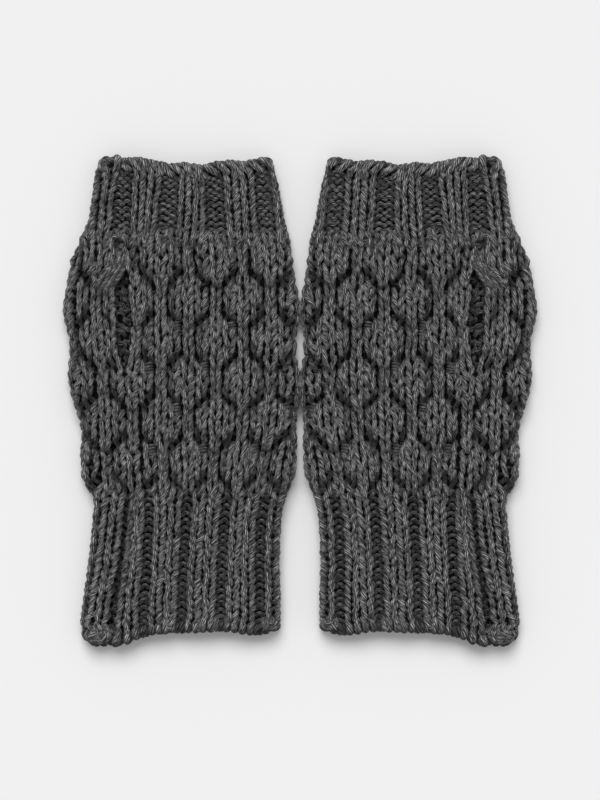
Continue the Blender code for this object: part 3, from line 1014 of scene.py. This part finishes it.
def finger_place(wale, y):
    start, end = seam_ends(y)
    share = (y - FINGER_SEAM) / (FINGER_EDGE - FINGER_SEAM)
    half = mix(*SEAM_GUTTER, share)
    marks = [(0.0, start), (1.0, start + half)]
    marks += rib_marks(
        y, FINGER_SEAM, FINGER_EDGE, FINGER_GUTTERS, first_wale=3.0, repeat=4.0, purls=2.0
    )
    band = FINGER_LAST_BAND
    banks = [(band.first, end - half - band.width), (band.last, end - half), (FINGER_WALES, end)]
    marks += evened(marks[-1:] + banks[:1], FINGER_COLUMNS, KNIT_WIDTH, FINGER_PURL_WIDTH) + banks
    round_ = along_marks(marks, wale)
    return round_, y, *sunk(
        FINGER_COLUMNS, wale, y, round_, start - NO_SEAM, end + NO_SEAM, FINGER_SHADE
    )


WRIST_PARTS = (
    Part("wrist_rib_front", WRIST_FIRST, 14.0, True),
    Part("wrist_rib_back", 14.0, 27.0, False),
    Part("wrist_rib_front", 27.0, WRIST_LAST, True),
)
FINGER_PARTS = (
    Part("finger_rib_front", 0.0, 15.0, True),
    Part("finger_rib_back", 15.0, 29.0, False),
    Part("finger_rib_front", 29.0, 32.0, True),
)
for name, side in SIDES:
    levels = [WRIST_SEAM - (row + 0.5) * WRIST_ROW for row in range(WRIST_ROWS)]
    knitted[name] += knit(
        name, side, WRIST_COLUMNS, levels, WRIST_PARTS, WRIST_LOOPS, wrist_place
    )
    levels = spaced(FINGER_START, FINGER_STOP, FINGER_ROWS)
    knitted[name] += knit(
        name, side, FINGER_COLUMNS, levels, FINGER_PARTS, FINGER_LOOPS, finger_place
    )

# ---------------------------------------------------------------- the bound-off edge
# The last row at the fingers is chained off: each loop is drawn slanting over the one
# before, and the yarn's back run lies along the very top, so that a firm cord is left.
CHAIN_LINKS = 32
CHAIN_LEVEL = 95.5
CHAIN_HALF_HEIGHT = 2.0
CHAIN_HALF_DEPTH = 1.5
CHAIN_SLANT = 0.36
CHAIN_FULLNESS = 1.3
CHAIN_SHADE = 0.1
LINK_RANGE = (0.9, 1.08)    # no two links are drawn to the same height
BACK_RUN_LEVEL = 97.3
BACK_RUN_WAVE = 0.35
BACK_RUN_SWING = 0.3
BACK_RUN_OUT = -0.2
BACK_RUN_FULLNESS = 0.9
BACK_RUN_DEPTH = 0.3        # how far forward it counts for the light


def chain(side):
    """The links: a length of yarn wound along the edge, its front runs leaning by the slant."""
    chance = random.Random(9)
    points = []
    start, end = seam_ends(CHAIN_LEVEL)
    tall = CHAIN_HALF_HEIGHT
    for step in range(CHAIN_LINKS * STEPS + 1):
        part = step / STEPS
        if step % STEPS == STEPS // 2:
            tall = CHAIN_HALF_HEIGHT * chance.uniform(*LINK_RANGE)
        turn = 2.0 * math.pi * part
        round_ = mix(start, end, (part + CHAIN_SLANT * math.sin(turn)) / CHAIN_LINKS)
        y = waved(CHAIN_LEVEL - tall * math.sin(turn), round_)
        out = CHAIN_HALF_DEPTH * math.cos(turn)
        points.append(laid(side, y, round_, out, CHAIN_FULLNESS, out - CHAIN_SHADE))
    return points


def back_run(side):
    """The yarn's run along the very top, with one shallow wave to a link."""
    points = []
    start, end = seam_ends(BACK_RUN_LEVEL)
    for step in range(CHAIN_LINKS * STEPS // 2 + 1):
        part = 2.0 * step / STEPS
        turn = 2.0 * math.pi * part
        round_ = mix(start, end, part / CHAIN_LINKS)
        y = waved(BACK_RUN_LEVEL + BACK_RUN_WAVE * math.cos(turn), round_)
        out = BACK_RUN_OUT + BACK_RUN_SWING * math.sin(turn)
        points.append(laid(side, y, round_, out, BACK_RUN_FULLNESS, BACK_RUN_DEPTH))
    return points


for name, side in SIDES:
    runs = [chain(side), back_run(side)]
    knitted[name].append(spin_yarn(name + "_bound_off_edge", side, runs, UPPER_SIDES))

# ---------------------------------------------------------------- the cast-on edge
# The wrist starts from a cast-on: at the foot of every leg the yarn wraps once round the
# edge, so that the columns end round and the gutters run right down to it.
CAST_LEVEL = -94.5
CAST_WRAPS = 57             # two to a stitch
WRAP_RANGE = (0.8, 1.15)    # no two wraps are equally tall
CAST_HALF_HEIGHT = 1.35
CAST_HALF_DEPTH = 1.15
CAST_SLANT = 0.2
CAST_FULLNESS = 1.28
CAST_UNREST = 0.3           # how much the yarn's fullness changes along the edge
CAST_UNREST_ACROSS = 0.9    # and how quickly, by wales
CAST_UNREST_START = 9.0
CAST_SHADE = 1.6            # the foot of the edge turns away from the light


def cast_on(side):
    chance = random.Random(3)
    points = []
    tall = CAST_HALF_HEIGHT
    for step in range(CAST_WRAPS * UNDER_STEPS + 1):
        part = step / UNDER_STEPS
        if step % UNDER_STEPS == 0:
            tall = CAST_HALF_HEIGHT * chance.uniform(*WRAP_RANGE)
        turn = 2.0 * math.pi * part
        wrap = part + CAST_SLANT * math.sin(turn)
        wale = WRIST_FIRST + (WRIST_LAST - WRIST_FIRST) * wrap / CAST_WRAPS
        level = CAST_LEVEL + tall * math.sin(turn)
        round_, y, relief, shade = wrist_place(wale, level)
        out = -CAST_HALF_DEPTH * math.cos(turn)
        spot = Vector((wale * CAST_UNREST_ACROSS, 0.0, CAST_UNREST_START))
        fullness = CAST_FULLNESS + CAST_UNREST * noise.noise(spot)
        shade += CAST_SHADE * ease(0.5 - 0.5 * math.sin(turn))
        points.append(laid(side, waved(y, round_), round_, relief + out, fullness, out - shade))
    return points


Nub = namedtuple("Nub", "across top half_width drop fullness")
NUBS = (                    # where a column's foot turns back up in front of the edge
    Nub(82.4, -96.0, 4.6, 3.0, 1.0),
    Nub(82.4, -95.6, 3.0, 1.7, 1.0),
    Nub(82.6, -95.2, 1.4, 0.6, 1.0),
    Nub(53.9, -90.6, 1.2, 2.5, 1.35),
    Nub(41.2, -91.2, 0.9, 2.4, 1.1),
    Nub(35.5, -91.2, 1.2, 2.3, 1.2),
    Nub(12.2, -91.4, 2.6, 1.9, 1.0),
    Nub(12.4, -91.0, 1.0, 0.6, 1.0),
)
NUB_STEPS = 14
NUB_OUT = 0.9
NUB_SHADE = CAST_SHADE * 0.5
TAIL_STEPS = 2              # both ends of a nub go back into the cloth
TAIL_LENGTH = 2.4
TAIL_DIVE = 1.9


def nub(side, turned):
    """A short length of yarn that comes down the front, turns, and goes up again."""
    points = []
    for step in range(-TAIL_STEPS, NUB_STEPS + TAIL_STEPS + 1):
        share = min(1.0, max(0.0, step / NUB_STEPS))
        tail = max(0.0, -step, step - NUB_STEPS) / TAIL_STEPS
        angle = math.pi * share
        across = turned.across + turned.half_width * math.cos(angle)
        y = turned.top - turned.drop * math.sin(angle) + TAIL_LENGTH * tail
        outer, _ = crowns(y)
        out = NUB_OUT - TAIL_DIVE * tail
        depth = out - NUB_SHADE * ease(math.sin(angle))
        points.append(laid(side, y, outer - across, out, turned.fullness, depth))
    return points


for name, side in SIDES:
    edge = [cast_on(side)] + [nub(side, turned) for turned in NUBS]
    knitted[name].append(spin_yarn(name + "_cast_on_edge", side, edge, UPPER_SIDES))

# ---------------------------------------------------------------- the cloth behind the yarn
# Between the loops one looks into the depth of the cloth: the same yarn, out of the light, here a
# near-black wool painted as that shade. It is one thin tube through the middle of the wall, open
# at the seam's slit.
CLOTH = 0.7                 # how thick it is
CLOTH_JOINED = 0.05         # where its two lips at the seam are closer than this, they are one
AROUND = 96
ALONG = 110
CLOTH_ENDS = (-94.0, 96.0)
CLOTH_SLOPE = 0.6           # it comes down to the ribs this steeply
CLOTH_DIP = 2.0             # and lies this deep where the hand's and a rib's rows overlap


def shade_painted_wool():
    material = bpy.data.materials.new("wool_out_of_the_light")
    material.use_nodes = True
    shader = material.node_tree.nodes["Principled BSDF"]
    # painted shade: near black, for the shade deep in the cloth between the loops
    shader.inputs["Base Color"].default_value = (0.006, 0.006, 0.0063, 1.0)
    shader.inputs["Roughness"].default_value = 0.95
    shader.inputs["Specular IOR Level"].default_value = 0.0
    return material


def cloth_tube(name, side):
    mesh = bmesh.new()
    bmesh.ops.create_grid(mesh, x_segments=AROUND, y_segments=ALONG, size=0.5)
    for vert in mesh.verts:
        around = vert.co.x + 0.5
        y = mix(*CLOTH_ENDS, vert.co.y + 0.5)
        if y < WRIST_SEAM:
            round_, y, relief, _ = wrist_place(mix(WRIST_FIRST, WRIST_LAST, around), y)
        elif y < FINGER_SEAM:
            to_seam = min(y - WRIST_SEAM, FINGER_SEAM - y)
            round_, y, relief, _ = hand_place(HAND_WALES * around, y)
            relief = min(relief, CLOTH_SLOPE * to_seam - CLOTH_DIP)
        else:
            round_, y, relief, _ = finger_place(FINGER_WALES * around, y)
        vert.co = on_tube(side, waved(y, round_), round_, relief)
    bmesh.ops.remove_doubles(mesh, verts=mesh.verts, dist=CLOTH_JOINED * MM)
    bmesh.ops.recalc_face_normals(mesh, faces=mesh.faces)
    bmesh.ops.solidify(mesh, geom=mesh.faces[:], thickness=CLOTH * MM)
    data = bpy.data.meshes.new(name)
    mesh.to_mesh(data)
    mesh.free()
    data.shade_smooth()
    data.materials.append(SHADE_PAINTED_WOOL)
    cloth = bpy.data.objects.new(name, data)
    bpy.context.scene.collection.objects.link(cloth)
    return cloth


SHADE_PAINTED_WOOL = shade_painted_wool()
for name, side in SIDES:
    cloth = cloth_tube(name + "_cloth", side)
    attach(cloth, "root")
    for node in ("wrist_rib", "hand_top", "hand_under", "finger_rib"):
        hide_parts(name + "_" + node)
    for piece in knitted[name]:
        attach(piece, "root")
